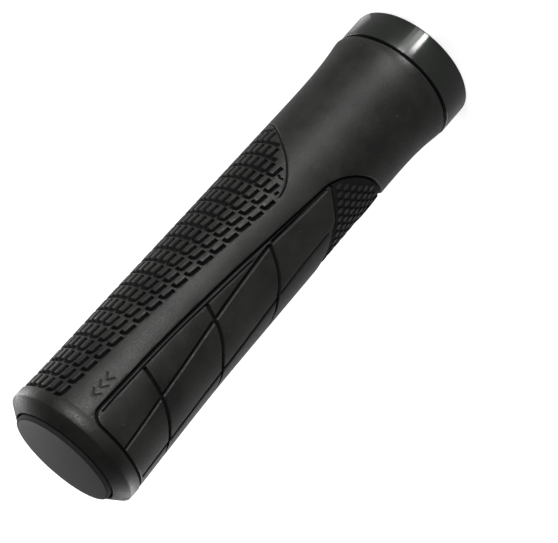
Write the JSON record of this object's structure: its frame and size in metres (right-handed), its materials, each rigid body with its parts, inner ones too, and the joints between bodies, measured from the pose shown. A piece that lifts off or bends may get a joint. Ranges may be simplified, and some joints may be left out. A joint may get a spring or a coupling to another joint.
{
  "type": "handlebar grip",
  "caption": "Lock-on handlebar grip: ribbed and blocked rubber sleeve on a plastic core, with a split clamp ring at one end and a plug at the other.",
  "frame": {"origin": "centre of the clamp ring's end face, where the handlebar goes in", "axes": "+Z along the grip to its closed end, +X to the middle of the ribbed side, -X to the middle of the block panel"},
  "size_m": [0.035, 0.035, 0.136],
  "materials": {
    "rubber": "matte moulded rubber",
    "core_plastic": "satin moulded nylon",
    "plug_plastic": "satin moulded nylon",
    "anodised_aluminium": "glossy black anodised",
    "steel": "bright zinc plated"
  },
  "bodies": {
    "root": {"rubber_sleeve": "rubber", "core_sleeve": "core_plastic", "end_plug": "plug_plastic", "clamp_ring": "anodised_aluminium", "clamp_bolt": "steel"}
  },
  "joints": []
}
